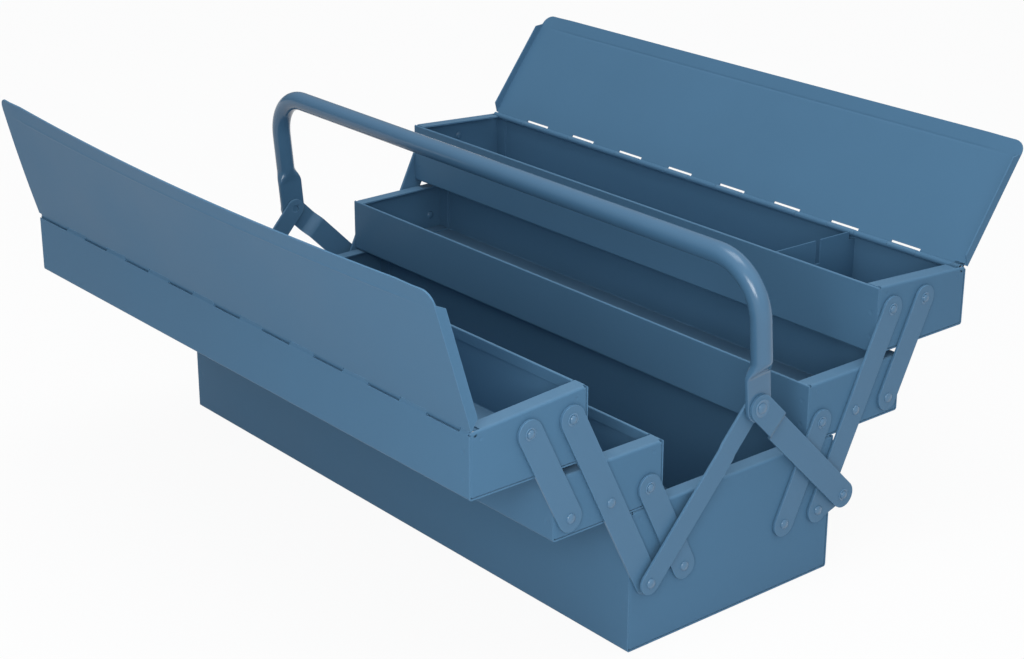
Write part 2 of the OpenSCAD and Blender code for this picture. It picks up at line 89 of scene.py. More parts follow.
# %% Camera
image_width = 1024
image_height = 659
focal_pixels = 2111.9
sensor_mm = 36
straight_ahead = (488.7, 313.9)
camera_place = Vector((1.15588, -0.94149, 0.71546))
camera_right = Vector((0.63293, 0.77420, -0.00192)).normalized()
camera_look = Vector((-0.72241, 0.58970, -0.36107)).normalized()
camera_up = camera_right.cross(camera_look)

camera_data = bpy.data.cameras.new("photo_camera")
camera_data.sensor_width = sensor_mm
camera_data.lens = sensor_mm * focal_pixels / image_width
camera_data.shift_x = (image_width / 2 - straight_ahead[0]) / image_width
camera_data.shift_y = (straight_ahead[1] - image_height / 2) / image_width
camera = in_scene("photo_camera", camera_data)
axes = Matrix((camera_right, camera_up, -camera_look)).transposed()
camera.matrix_world = Matrix.Translation(camera_place) @ axes.to_4x4()
bpy.context.scene.camera = camera
print("lens:", round(camera_data.lens, 2), "mm")

# %% [markdown]
# ## Sizes of the sheet metal
# Lengths are in metres, so a millimetre is named once. The places of things come from the packed
# model: the ends of the box, the layers beside the end panels, the rivet rows. The thickness of the
# sheets and the radius of each kind of bend are written here.

# %% Sizes
MM = 0.001
shell_sheet = 1.0 * MM
end_sheet = 1.2 * MM
rim_width = 10 * MM
hem_depth = 7 * MM
hem_pitch = 1.1 * MM
hem_bend = 0.54 * MM
weld_flange = 12 * MM
bend_radius = 1.3 * MM
tight_bend = 0.62 * MM
bend_steps = 5
edge_round = 0.22 * MM
fine_gap = 0.05 * MM

half_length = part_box("base_shell")[1].x
panel_inside = half_length - end_sheet
hem_stop = panel_inside - weld_flange
past_end = half_length + shell_sheet
arm_low, arm_high = (corner.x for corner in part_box("front_right_long_arm"))
link_low, link_high = (corner.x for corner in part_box("right_front_link"))
cover_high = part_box("right_rear_link")[1].x
print("half length:", round(half_length / MM, 2), "mm")

# %% [markdown]
# ## Mesh helpers
# A folded sheet is a line through the middle of its thickness, with an arc at each bend. Sweeping
# that line sideways and giving it thickness makes a closed solid with true bend radii, which catch
# the light as a real fold does. It could also be a box with bevels, but then the inside and outside
# of a bend would not match. The same sweep makes shells, panels, lids and flat straps.


# %% Bent lines
def ray(degrees):
    """A unit direction in a plane, turned from its first axis."""
    return Vector((math.cos(math.radians(degrees)), math.sin(math.radians(degrees))))


def bent_line(corners, bends):
    """Points and left normals along straight runs joined by arcs, one bend for each inner corner."""
    line = []
    last = len(corners) - 1
    for i in range(last + 1):
        here = Vector(corners[i])
        before = (here - Vector(corners[max(i - 1, 0)])).normalized()
        after = (Vector(corners[min(i + 1, last)]) - here).normalized()
        if i in (0, last):
            run = after if i == 0 else before
            line.append((here, Vector((-run.y, run.x))))
            continue
        turn = math.atan2(before.x * after.y - before.y * after.x, before.dot(after))
        side = 1 if turn > 0 else -1
        radius = bends[i - 1]
        normal = Vector((-before.y, before.x))
        start = here - before * radius * math.tan(abs(turn) / 2)
        centre = start + normal * side * radius
        for k in range(bend_steps + 1):
            turned = Matrix.Rotation(turn * k / bend_steps, 2) @ normal
            line.append((centre - turned * side * radius, turned))
    return line


def curl(centre, radius, start, stop, steps=16):
    """Points and left normals of a rolled edge, in degrees round its centre."""
    line = []
    way = 1 if stop > start else -1
    for k in range(steps + 1):
        outward = ray(start + (stop - start) * k / steps)
        line.append((Vector(centre) + outward * radius, -way * outward))
    return line


# %% Swept sheets
def new_object(name, bm):
    """Turns a bmesh into an object of the scene."""
    bmesh.ops.recalc_face_normals(bm, faces=bm.faces[:])
    mesh = bpy.data.meshes.new(name)
    bm.to_mesh(mesh)
    bm.free()
    return in_scene(name, mesh)


def swept_sheet(name, line, spans, thickness, place, columns=1):
    """A closed sheet: the line with its thickness, swept between two limits at each point."""
    bm = bmesh.new()
    grids = []
    for side in (0.5, -0.5):
        rows = []
        for point, normal in line:
            middle = point + normal * side * thickness
            low, high = spans(point) if callable(spans) else spans
            across = [low + (high - low) * c / columns for c in range(columns + 1)]
            rows.append([bm.verts.new(place(middle.x, middle.y, w)) for w in across])
        grids.append(rows)
    top, under = grids
    for i in range(len(line) - 1):
        for c in range(columns):
            bm.faces.new((top[i][c], top[i + 1][c], top[i + 1][c + 1], top[i][c + 1]))
            bm.faces.new((under[i][c], under[i][c + 1], under[i + 1][c + 1], under[i + 1][c]))
        for c in (0, columns):
            bm.faces.new((top[i][c], top[i + 1][c], under[i + 1][c], under[i][c]))
    for i in (0, len(line) - 1):
        for c in range(columns):
            bm.faces.new((top[i][c], top[i][c + 1], under[i][c + 1], under[i][c]))
    return new_object(name, bm)


# %% [markdown]
# Slots, notches and rivet holes are punched out of the finished sheet. A boolean modifier does the
# same in Blender: a tool solid is taken away from the sheet, or joined to it where two folded
# pieces are one piece of metal. The manifold solver is used because it always gives a closed mesh
# back. The result is baked into the mesh at once, so that no tool is left.

# %% Punches
weld_radius = 2.4 * MM
weld_depth = 0.35 * MM


def carve(piece, tool, how="DIFFERENCE"):
    """Cuts the tool out of the piece, or joins it, and deletes the tool."""
    punch = piece.modifiers.new("punch", "BOOLEAN")
    punch.operation = how
    punch.solver = "MANIFOLD"
    punch.object = tool
    graph = bpy.context.evaluated_depsgraph_get()
    mesh = bpy.data.meshes.new_from_object(piece.evaluated_get(graph))
    piece.modifiers.clear()
    piece.data = mesh
    bpy.data.objects.remove(tool)


def blocks(corner_pairs, place=lambda x, y, z: (x, y, z)):
    """One tool made of several boxes, each moved to its place."""
    bm = bmesh.new()
    for corners in corner_pairs:
        limits = [sorted(pair) for pair in zip(*corners)]
        for vertex in bmesh.ops.create_cube(bm, size=1)["verts"]:
            vertex.co = place(*(low + (high - low) * (c + 0.5) for (low, high), c in zip(limits, vertex.co)))
    return new_object("punch", bm)


def rods(centres, radius, length, sides=40, lying=True):
    """One tool made of several round punches, which lie along X or stand upright."""
    bm = bmesh.new()
    turn = Matrix.Rotation(math.radians(90 if lying else 0), 4, "Y")
    for centre in centres:
        bmesh.ops.create_cone(bm, cap_ends=True, segments=sides, radius1=radius, radius2=radius,
                              depth=length, matrix=Matrix.Translation(centre) @ turn)
    return new_object("punch", bm)


def dents(spots, direction, radius=weld_radius):
    """One tool of shallow balls that leaves the round marks of spot welds."""
    ball = (radius * radius + weld_depth * weld_depth) / (2 * weld_depth)
    bm = bmesh.new()
    for spot in spots:
        centre = Vector(spot) + Vector(direction) * (ball - weld_depth)
        bmesh.ops.create_icosphere(bm, subdivisions=4, radius=ball, matrix=Matrix.Translation(centre))
    return new_object("punch", bm)


# %% [markdown]
# ## Enamel
# The whole box is sprayed after riveting, so every part shares one paint. Sprayed enamel is not
# one flat colour: it has a faint orange-peel skin, the sheet under it is never quite flat, the tone
# drifts a little, and it is rubbed through on sharp edges. Convex edges also get a painted highlight,
# a lighter tone, and faces that look up, as in the trays, get a lighter, greyer tone, partly dust and
# partly painted light from above. Each of these effects is a small node group, and each material
# places the groups with its own strengths. An image texture could hold the same, but noise in the
# object's own space needs no unwrapping and never repeats.


# %% Node helpers
def group_of(name, inputs, outputs):
    """A shader node group with named value and colour sockets."""
    tree = bpy.data.node_groups.new(name, "ShaderNodeTree")
    for label, kind, value in inputs:
        socket = tree.interface.new_socket(name=label, in_out="INPUT", socket_type=kind)
        socket.default_value = value
    for label, kind in outputs:
        tree.interface.new_socket(name=label, in_out="OUTPUT", socket_type=kind)
    print("making group:", name)
    return tree, tree.nodes.new("NodeGroupInput"), tree.nodes.new("NodeGroupOutput")


def feed(socket, value):
    """Gives an input its value, or links another socket to it."""
    if isinstance(value, bpy.types.NodeSocket):
        value.id_data.links.new(value, socket)
    else:
        socket.default_value = value


def fill(made, **values):
    """Sets properties of a node and feeds its inputs; a _ stands for a space."""
    for label, value in values.items():
        if hasattr(made, label):
            setattr(made, label, value)
        else:
            feed(made.inputs[label.replace("_", " ")], value)
    return made


def node(tree, kind, **values):
    """A new node with its properties and inputs."""
    return fill(tree.nodes.new(kind), **values)


def maths(operation, *operands, clamp=False):
    """A Math node; each operand is a number or a socket, whose tree it joins."""
    tree = next(operand.id_data for operand in operands if isinstance(operand, bpy.types.NodeSocket))
    made = node(tree, "ShaderNodeMath", operation=operation, use_clamp=clamp)
    for operand, socket in zip(operands, made.inputs):
        feed(socket, operand)
    return made.outputs[0]


def noise(tree, scale, detail=2.0, roughness=0.5, squeeze=None):
    """Noise in the object's own space; scale is in bumps per metre, squeeze scales each axis."""
    place = node(tree, "ShaderNodeTexCoord").outputs["Object"]
    if squeeze:
        place = node(tree, "ShaderNodeMapping", Scale=squeeze, Vector=place).outputs["Vector"]
    return node(tree, "ShaderNodeTexNoise", Scale=scale, Detail=detail, Roughness=roughness,
                Vector=place).outputs["Fac"]


# %% Skin of the paint
FLOAT = "NodeSocketFloat"
COLOUR = "NodeSocketColor"
peel_per_metre = 520
wave_per_metre = 7

skin_group, skin_in, skin_out = group_of(
    "sprayed_skin",
    [("Peel height", FLOAT, 0.000004), ("Wave height", FLOAT, 0.0002)],
    [("Height", FLOAT)],
)
peel = maths("MULTIPLY", noise(skin_group, peel_per_metre, 1.5), skin_in.outputs["Peel height"])
wave = maths("MULTIPLY", noise(skin_group, wave_per_metre, 1.0), skin_in.outputs["Wave height"])
fill(skin_out, Height=maths("ADD", peel, wave))

# %% Drift of the tone
cloud_per_metre = 11
fleck_per_metre = 900
cloud_share = 0.75

drift_group, drift_in, drift_out = group_of(
    "tone_drift",
    [("Color", COLOUR, (0.08, 0.16, 0.27, 1)), ("Amount", FLOAT, 0.1)],
    [("Color", COLOUR), ("Cloud", FLOAT)],
)
cloud = noise(drift_group, cloud_per_metre, 4.0, 0.55)
fleck = maths("MULTIPLY", noise(drift_group, fleck_per_metre), 1 - cloud_share)
mottle = maths("MULTIPLY_ADD", cloud, cloud_share, fleck)
centred = maths("SUBTRACT", mottle, 0.5)
value = maths("MULTIPLY_ADD", centred, drift_in.outputs["Amount"], 1)
shade = node(drift_group, "ShaderNodeHueSaturation", Value=value, Color=drift_in.outputs["Color"])
fill(drift_out, Color=shade.outputs["Color"], Cloud=cloud)

# %% Painted edge highlights and rubbed edges
edge_slope = 4
shelter_reach = 6 * MM
sheltered_below = 0.82
shelter_slope = 8
patch_per_metre = 85
rub_slope = 9

# The first output is a painted highlight along convex edges, kept off hollows by the occlusion test; the second is
# steel rubbed bare on some of those edges.
edge_group, edge_in, edge_out = group_of(
    "rubbed_edges_and_highlights",
    [("Width", FLOAT, 0.001), ("Rub", FLOAT, 0.5)],
    [("Thin", FLOAT), ("Bare", FLOAT)],
)
rounded = node(edge_group, "ShaderNodeBevel", samples=4, Radius=edge_in.outputs["Width"])
flat = node(edge_group, "ShaderNodeNewGeometry")
agree = node(edge_group, "ShaderNodeVectorMath", operation="DOT_PRODUCT")
feed(agree.inputs[0], rounded.outputs["Normal"])
feed(agree.inputs[1], flat.outputs["Normal"])
turned_away = maths("SUBTRACT", 1, agree.outputs["Value"])
near_edge = maths("MULTIPLY", turned_away, edge_slope, clamp=True)
sheltered = node(edge_group, "ShaderNodeAmbientOcclusion", samples=4, only_local=True,
                 Distance=shelter_reach)
open_air = maths("SUBTRACT", sheltered.outputs["AO"], sheltered_below)
proud = maths("MULTIPLY", open_air, shelter_slope, clamp=True)
convex = maths("MULTIPLY", near_edge, proud)
patch = noise(edge_group, patch_per_metre, 5.0, 0.65)
rub_at = maths("SUBTRACT", patch, maths("SUBTRACT", 1, edge_in.outputs["Rub"]))
rubbed = maths("MULTIPLY", rub_at, rub_slope, clamp=True)
fill(edge_out, Thin=convex, Bare=maths("MULTIPLY", rubbed, convex))

# %% Dust and painted light on faces that look up
drifts_per_metre = 26

# Faces that look up get a lighter, greyer tone in patches: partly settled dust, partly painted light from above.
dust_and_top_light_group, dust_and_top_light_in, dust_and_top_light_out = group_of("dust_and_painted_top_light", [("Amount", FLOAT, 0.2)], [("Dust", FLOAT)])
facing = node(dust_and_top_light_group, "ShaderNodeNewGeometry").outputs["Normal"]
upright = node(dust_and_top_light_group, "ShaderNodeSeparateXYZ", Vector=facing).outputs["Z"]
lying = maths("MULTIPLY", upright, upright, clamp=True)
faces_up = maths("GREATER_THAN", upright, 0)
level = maths("MULTIPLY", lying, faces_up)
settled = maths("MULTIPLY", level, noise(dust_and_top_light_group, drifts_per_metre, 6.0, 0.7))
fill(dust_and_top_light_out, Dust=maths("MULTIPLY", settled, dust_and_top_light_in.outputs["Amount"]))


# %% Mixing colours
def mix_colour(amount, first, second):
    """Mixes two colours by a socket's amount; each is a socket or a colour."""
    made = node(amount.id_data, "ShaderNodeMix", data_type="RGBA", Factor=amount)
    feed(made.inputs[6], first)
    feed(made.inputs[7], second)
    return made.outputs[2]


# %% The enamel itself
box_blue = (0.064, 0.148, 0.244)
tube_blue = (0.055, 0.132, 0.222)
bare_steel = (0.33, 0.35, 0.37, 1)
# Lighter grey-blue for faces that look up: partly dust, partly painted light from above.
dust_and_top_light_colour = (0.15, 0.25, 0.35, 1)
edge_width = 1.1 * MM
# The painted edge highlight: the colour made lighter by these, mixed in by the share below.
edge_lighter = 1.5
edge_lift = 0.02
edge_highlight_share = 0.45
cloud_dulls = 0.22
dust_dulls = 0.5
coat_weight = 0.01
coat_roughness = 0.2


def enamel(name, colour=box_blue, gloss=0.42, drift=0.14, rub=0.25, dust_and_top_light=0.1, wave=0.0002, sheen=0.05):
    """Sprayed enamel on steel: colour, roughness, wear, waves, a painted edge highlight, and dust with painted top
    light.
    """
    material = bpy.data.materials.new(name)
    material.use_nodes = True
    tree = material.node_tree
    tone = node(tree, "ShaderNodeGroup", node_tree=drift_group, Color=(*colour, 1), Amount=drift)
    edges = node(tree, "ShaderNodeGroup", node_tree=edge_group, Width=edge_width, Rub=rub)
    film = node(tree, "ShaderNodeGroup", node_tree=dust_and_top_light_group, Amount=dust_and_top_light)
    skin = node(tree, "ShaderNodeGroup", node_tree=skin_group, Wave_height=wave)
    # A lighter copy of the colour is painted along convex edges as a highlight.
    edge_highlight_colour = tuple(min(1, c * edge_lighter + edge_lift) for c in colour) + (1,)
    edge_highlight_amount = maths("MULTIPLY", edges.outputs["Thin"], edge_highlight_share)
    with_edge_highlight = mix_colour(edge_highlight_amount, tone.outputs["Color"], edge_highlight_colour)
    # Faces that look up turn lighter and greyer: partly dust, partly painted light from above.
    dusty_and_top_lit = mix_colour(film.outputs["Dust"], with_edge_highlight, dust_and_top_light_colour)
    final = mix_colour(edges.outputs["Bare"], dusty_and_top_lit, bare_steel)
    cloudy = maths("MULTIPLY", maths("SUBTRACT", tone.outputs["Cloud"], 0.5), cloud_dulls)
    dull = maths("MULTIPLY_ADD", film.outputs["Dust"], dust_dulls, cloudy)
    bump = node(tree, "ShaderNodeBump", Strength=1.0, Distance=1.0, Height=skin.outputs["Height"])
    fill(tree.nodes["Principled BSDF"], Base_Color=final, Metallic=edges.outputs["Bare"],
         Roughness=maths("ADD", dull, gloss, clamp=True), Normal=bump.outputs["Normal"],
         Specular_IOR_Level=sheen, Coat_Weight=coat_weight, Coat_Roughness=coat_roughness)
    return material


# %% Six painted finishes
stiff_wave = 0.00002
coats = {
    # The dust amount also sets how much light from above is painted on faces that look up; the trays' panels get
    # the most.
    "panel_enamel": {"dust_and_top_light": 0.5},
    "lid_enamel": {"rub": 0.1, "dust_and_top_light": 0.06, "wave": 0.0004},
    "strap_enamel": {"rub": 0.32, "dust_and_top_light": 0.06, "wave": stiff_wave, "sheen": 0.2},
    "rivet_enamel": {"gloss": 0.16, "rub": 0.3, "dust_and_top_light": 0.03, "wave": 0, "sheen": 0.5},
    "handle_enamel": {"colour": tube_blue, "gloss": 0.2, "rub": 0.22, "dust_and_top_light": 0.05,
                      "wave": stiff_wave, "sheen": 0.4},
    "divider_enamel": {"colour": tube_blue},
}
finishes = {name: enamel(name, **coat) for name, coat in coats.items()}
print("enamels:", ", ".join(finishes))

# %% [markdown]
# The hinge pins are drawn steel wire, which the paint hardly reaches. Drawing leaves fine lines
# along the wire, so the noise is stretched along X, the way the pins lie.

# %% Pin steel
lines_per_metre = 5000
line_squeeze = (0.04, 1, 1)
steel_dark = (0.50, 0.51, 0.52, 1)
steel_light = (0.64, 0.65, 0.66, 1)
steel_roughness = 0.22
line_roughness = 0.2

pin_steel = bpy.data.materials.new("pin_steel")
pin_steel.use_nodes = True
steel_tree = pin_steel.node_tree
drawn_lines = noise(steel_tree, lines_per_metre, 3.0, squeeze=line_squeeze)
steel_tone = mix_colour(drawn_lines, steel_dark, steel_light)
steel_dull = maths("MULTIPLY_ADD", drawn_lines, line_roughness, steel_roughness)
fill(steel_tree.nodes["Principled BSDF"], Base_Color=steel_tone, Roughness=steel_dull, Metallic=1)
finishes["pin_steel"] = pin_steel
print("finishes:", len(finishes))

# %% [markdown]
# ## Handing a piece over
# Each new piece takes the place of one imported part: it gets the body, the finish and the slot that
# the record gives to that part. Cut edges of sheet are not knife sharp, so a fine bevel rounds them,
# and weighted normals keep the flat faces flat beside the round ones.

# %% Stand-ins
slot_of = {part["node"]: part["material_slot"] for part in frame["record"]["subparts"]}
body_of = {part: body for body, parts in frame["record"]["behaviour"]["bodies"].items()
           for part in parts}
smooth_below = math.radians(32)
bevel_above = math.radians(50)
stand_ins = []


def stand_in(piece, part, edge=edge_round):
    """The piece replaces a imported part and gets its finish, edges, body and slot."""
    piece.data.materials.clear()
    piece.data.materials.append(finishes[slot_of[part]])
    if edge:
        rounding = piece.modifiers.new("rounded_edges", "BEVEL")
        rounding.width = edge
        rounding.segments = 2
        rounding.limit_method = "ANGLE"
        rounding.angle_limit = bevel_above
    piece.data.shade_smooth()
    piece.data.set_sharp_from_angle(angle=smooth_below)
    flat_faces = piece.modifiers.new("flat_faces", "WEIGHTED_NORMAL")
    flat_faces.keep_sharp = True
    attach(piece, body_of[part])
    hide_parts(part)
    stand_ins.append(piece.name)
    print(piece.name, "faces:", len(piece.data.polygons))


# %% [markdown]
# ## Tray shells
# The floor and both long walls of each tray are one folded sheet. The top of each long wall is
# hemmed: folded back down flat against its inside, so that no cut edge faces the hand and the thin
# wall gets stiff. The hems stop at the flanges of the end panels. Pairs of round spot-weld marks
# show on the walls near each end.

# %% Base and middle shells
weld_shares = (0.3, 0.72)


def mark_welds(shell, walls, z_low, z_high):
    """Dents the spot welds into long walls, two at each end. Each wall is its y and its way out."""
    inset = weld_flange / 2
    heights = [z_low + (z_high - z_low) * share for share in weld_shares]
    for y, way_out in walls:
        spots = [(x, y, z) for z in heights for x in (inset - half_length, half_length - inset)]
        carve(shell, dents(spots, (0, way_out, 0)))


def hem_ends(wall, inward, top):
    """Boxes that take the hem away beside the end panels. inward is 1 or -1 along Y."""
    near = wall + inward * (shell_sheet + fine_gap)
    far = near + inward * 3 * shell_sheet
    under, over = top - hem_depth - 2 * shell_sheet, top + shell_sheet
    return [((-past_end, near, under), (-hem_stop, far, over)),
            ((hem_stop, near, under), (past_end, far, over))]


def open_shell(part):
    """A floor with two hemmed walls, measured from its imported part."""
    low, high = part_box(part)
    half_sheet = shell_sheet / 2
    left, right = low.y + half_sheet, high.y - half_sheet
    floor, top = low.z + half_sheet, high.z - half_sheet
    outline = [(left + hem_pitch, top - hem_depth), (left + hem_pitch, top), (left, top),
               (left, floor), (right, floor), (right, top), (right - hem_pitch, top),
               (right - hem_pitch, top - hem_depth)]
    bends = [hem_bend, hem_bend, bend_radius, bend_radius, hem_bend, hem_bend]
    shell = swept_sheet(part + "_sheet", bent_line(outline, bends), (low.x, high.x), shell_sheet,
                        lambda y, z, x: (x, y, z))
    carve(shell, blocks(hem_ends(low.y, 1, high.z) + hem_ends(high.y, -1, high.z)))
    mark_welds(shell, ((low.y, -1), (high.y, 1)), low.z, high.z)
    stand_in(shell, part)


for part in ("base_shell", "front_middle_shell", "rear_middle_shell"):
    open_shell(part)

# %% [markdown]
# The upper trays carry the lids. Tabs at the top of their outer wall lean in and are rolled round
# the hinge pin, and the lid's own roll fills the places between them. Here the whole wall is rolled,
# and then the places of the lid's rolls are cut away, as a press tool would do it.

# %% Hinge sizes
knuckle_radius = 2.5 * MM
knuckle_gap = 0.4 * MM
slot_start = 42 * MM
slot_pitch = 59.8 * MM
slot_width = 27.6 * MM
slot_high = {"front": 3.3 * MM, "rear": 4.6 * MM}
wall_drop = 0.85 * MM
tab_lean_at = 0.2 * MM
roll_stop = 265
knuckle_end = panel_inside - knuckle_gap
slots = []
slot_left = slot_start - half_length
while slot_left < knuckle_end:
    slots.append((slot_left, min(slot_left + slot_width, knuckle_end + knuckle_gap)))
    slot_left += slot_pitch
print("hinge slots:", len(slots))


# %% Upper shells
def upper_shell(part, hinge, side):
    """A shell whose outer wall ends in rolled hinge tabs. side is 1 at the rear, -1 in front."""
    low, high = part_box(part)
    half_sheet = shell_sheet / 2
    inner, outer = sorted((abs(low.y), abs(high.y)))
    left, right = inner + half_sheet, outer - half_sheet
    floor = low.z + half_sheet
    rim = high.z - half_sheet
    roll = knuckle_radius - half_sheet
    lean_in = Vector((right - abs(hinge.y), -tab_lean_at))
    start = math.degrees(math.atan2(lean_in.y, lean_in.x) + math.acos(roll / lean_in.length))
    pin = Vector((abs(hinge.y), hinge.z))
    outline = [(left + hem_pitch, rim - hem_depth), (left + hem_pitch, rim), (left, rim),
               (left, floor), (right, floor), (right, hinge.z - tab_lean_at), pin + ray(start) * roll]
    line = bent_line(outline, [hem_bend, hem_bend, bend_radius, bend_radius, bend_radius])
    line.pop()
    line += curl(pin, roll, start, roll_stop)
    shell = swept_sheet(part + "_sheet", line, (low.x, high.x), shell_sheet,
                        lambda y, z, x: (x, side * y, z))
    wall_top = hinge.z - wall_drop
    edges = [-past_end, past_end]
    for slot_from, slot_to in slots:
        edges[-1:-1] = [slot_from + knuckle_gap, slot_to - knuckle_gap]
    near, far = side * (outer - 4 * knuckle_radius), side * (outer + shell_sheet)
    over = hinge.z + 2 * knuckle_radius
    gaps = [((x0, near, wall_top), (x1, far, over)) for x0, x1 in zip(edges[::2], edges[1::2])]
    carve(shell, blocks(gaps))
    carve(shell, blocks(hem_ends(side * inner, side, high.z)))
    mark_welds(shell, ((side * outer, side), (side * inner, -side)), low.z, wall_top)
    stand_in(shell, part)


hinges = {"front": joint_at["front_lid_hinge"], "rear": joint_at["rear_lid_hinge"]}
sides = {"front": -1, "rear": 1}
hands = {"left": -1, "right": 1}
for row, side in sides.items():
    upper_shell(row + "_upper_shell", hinges[row], side)

# %% [markdown]
# ## End panels
# Each end is a shallow pan: flanges at the sides and the floor are welded inside the shell, and the
# top is turned in as a rim. It is swept twice, once over rim, panel and floor flange and once over the
# two side flanges, and the two are joined, so that all four bends are round and the corners stay
# notched, as they are cut before folding. Small holes open the corners of the rim, on the upper trays
# only the inner one, and the marks of two spot welds show below it.

# %% Pans
shank_radius = 3 * MM
corner_hole = 1.4 * MM
corner_hole_sides = 24
mark_in = 8 * MM
mark_down = 6 * MM
mark_radius = 1.8 * MM


def end_panel(part, across, along, top_at, rivets, relief_at, rim_reach=None):
    """One end panel. across and along are its limits in y and z, top_at its top at a given y."""
    hand = 1 if "right" in part else -1
    near, far = across
    low, reference = along
    half_sheet = end_sheet / 2
    clear = tight_bend + half_sheet
    rim_clear = bend_radius + half_sheet

    def place(inward, y, z):
        share = (z - low) / (reference - low)
        return (hand * (half_length - inward), y, z + share * (top_at(y) - reference))

    def rim_spans(point):
        short = fine_gap if point.x > half_sheet + fine_gap and point.y > low + rim_width else clear
        return (near + short, far - short)

    rim_to = rim_width + end_sheet
    flange_to = weld_flange + end_sheet
    upright = [(rim_to, reference - half_sheet), (half_sheet, reference - half_sheet),
               (half_sheet, low + half_sheet), (flange_to, low + half_sheet)]
    level = [(flange_to, near + half_sheet), (half_sheet, near + half_sheet),
             (half_sheet, far - half_sheet), (flange_to, far - half_sheet)]
    panel = swept_sheet(part + "_panel", bent_line(upright, [bend_radius, tight_bend]), rim_spans,
                        end_sheet, lambda inward, z, y: place(inward, y, z))
    flanges = swept_sheet("flanges", bent_line(level, [tight_bend, tight_bend]),
                          (low + clear, reference - rim_clear), end_sheet, place)
    carve(panel, flanges, "UNION")
    sheet_middle = hand * (half_length - half_sheet)
    carve(panel, rods([(sheet_middle, y, z) for y, z in rivets], shank_radius, end_sheet + 2 * rim_width))
    for y in relief_at:
        carve(panel, rods([(hand * panel_inside, y, top_at(y))], corner_hole, 3 * end_sheet,
                          corner_hole_sides, lying=False))
    marks = [(hand * half_length, y, top_at(y) - mark_down) for y in (near + mark_in, far - mark_in)]
    carve(panel, dents(marks, (hand, 0, 0), mark_radius))
    if rim_reach:
        first = (hand * (panel_inside - fine_gap), rim_reach[0], reference - rim_width / 2)
        second = (hand * (panel_inside - 2 * rim_width), rim_reach[1], reference + rim_width)
        carve(panel, blocks([(first, second)]))
    stand_in(panel, part)


# %% Rivet places
def mirrored(places, side):
    """The same (y, z) places on the front or the rear side."""
    return [(side * y, z) for y, z in places]


pivot = joint_at["rear_fold"]
spacing = pivot.y - joint_at["rear_lower_arm_turn"].y
middle_pivot = joint_at["rear_middle_level"]
upper_pivot = joint_at["rear_upper_level"]
base_rivets = [(s * y, pivot.z) for s in (-1, 1) for y in (pivot.y, pivot.y - spacing)]
middle_rivets = [(middle_pivot.y + k * spacing, middle_pivot.z) for k in (-1, 0, 1)]
upper_rivets = [(upper_pivot.y + k * spacing, upper_pivot.z) for k in (0, 1)]
print("rivet spacing:", round(spacing / MM, 2), "mm")

# %% All ten ends
top_over_pin = 1.13 * MM


def level_end(part, rivets):
    """An end with a level top, as the base and the middle trays have it."""
    low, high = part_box(part)
    holes = (low.y + corner_hole / 2, high.y - corner_hole / 2)
    end_panel(part, (low.y, high.y), (low.z, high.z), lambda y: high.z, rivets, holes)


def upper_end(part, hinge, side):
    """An end that slopes to the lid's pin, with its rim cut short of the rolled knuckles."""
    low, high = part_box(part)
    inner, outer = sorted((abs(low.y), abs(high.y)))
    rise = (high.z - (hinge.z + top_over_pin)) / (abs(hinge.y) - inner)
    stop = abs(hinge.y) - 2 * knuckle_radius - knuckle_gap
    end_panel(part, (low.y, high.y), (low.z, high.z - rise * (outer - inner) / 2),
              lambda y: high.z - rise * (abs(y) - inner), mirrored(upper_rivets, side),
              [side * (inner + corner_hole / 2)], (side * stop, side * (outer + rim_width)))


for hand_name in hands:
    level_end(f"base_{hand_name}_end", base_rivets)
    for row, side in sides.items():
        level_end(f"{row}_middle_{hand_name}_end", mirrored(middle_rivets, side))
        upper_end(f"{row}_upper_{hand_name}_end", hinges[row], side)

# %% [markdown]
# ## Lids
# Each lid is one sheet, rolled round the pin at one side and creased along its free edge, so that
# the edge strip tips down over the tray and stiffens it. Slots in the roll let the tray's tabs
# through, and flanges at the ends overlap the tray. The sheet is thin and has taken a bow, which
# shows in the curve of the open lid's edge, so the lid is swept in many columns and each column is
# turned a little more or less round the hinge. The bow is given in degrees: at the middle, what the
# right end has more than the left, halved, and what both ends have more than the middle.

# %% Lid sizes
lid_sheet = 1.07 * MM
lid_side_gap = 0.4 * MM
lid_corner = 9 * MM
lid_flange = 6 * MM
lid_longer = 1.5 * MM
flange_seat = 0.6
crease_in = 12 * MM
crease_half = 1.6 * MM
crease_ridge = 0.3 * MM
strip_tip = math.tan(math.radians(5))
crease_short = 14 * MM
crease_fade = 22 * MM
roll_start = 325
lid_columns = 64
flat_steps = 7
crease_steps = 12
corner_steps = 6
lid_plane = knuckle_radius - lid_sheet / 2
lid_wide = half_length + lid_side_gap + lid_sheet
lid_start = knuckle_radius + 2 * knuckle_gap
bow_degrees = {"front": (4.0, 1.2, -5.0), "rear": (1.6, -1.2, -0.4)}
print("lid length:", round(2 * lid_wide / MM, 1), "mm")


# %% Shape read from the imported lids
def eased(t):
    """A smooth step from 0 to 1."""
    t = min(1, max(0, t))
    return t * t * (3 - 2 * t)


def lid_edge(part, hinge):
    """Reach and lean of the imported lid, measured from its pin to its free edge."""
    corners = [vertex.co for vertex in frame["nodes"][part].data.vertices]
    far = max(corners, key=lambda co: math.hypot(co.y - hinge.y, co.z - hinge.z))
    away = math.hypot(far.y - hinge.y, far.z - hinge.z)
    lean = math.atan2(abs(far.y) - abs(hinge.y), far.z - hinge.z)
    lean += math.asin(knuckle_radius / away)
    return math.sqrt(away * away - knuckle_radius * knuckle_radius), lean


def creased(out, x, reach):
    """How far the edge strip drops, and the ridge of the crease, at a place on the lid."""
    fade = eased((lid_wide - crease_short - abs(x)) / crease_fade)
    t = (out - (reach - crease_in)) / crease_half
    drop = crease_half * (t + 1) * (t + 1) / 4 if abs(t) < 1 else crease_half * max(0, t)
    ridge = crease_ridge * (1 + math.cos(math.pi * t)) / 2 if abs(t) < 1 else 0
    return fade * (ridge - drop * strip_tip)


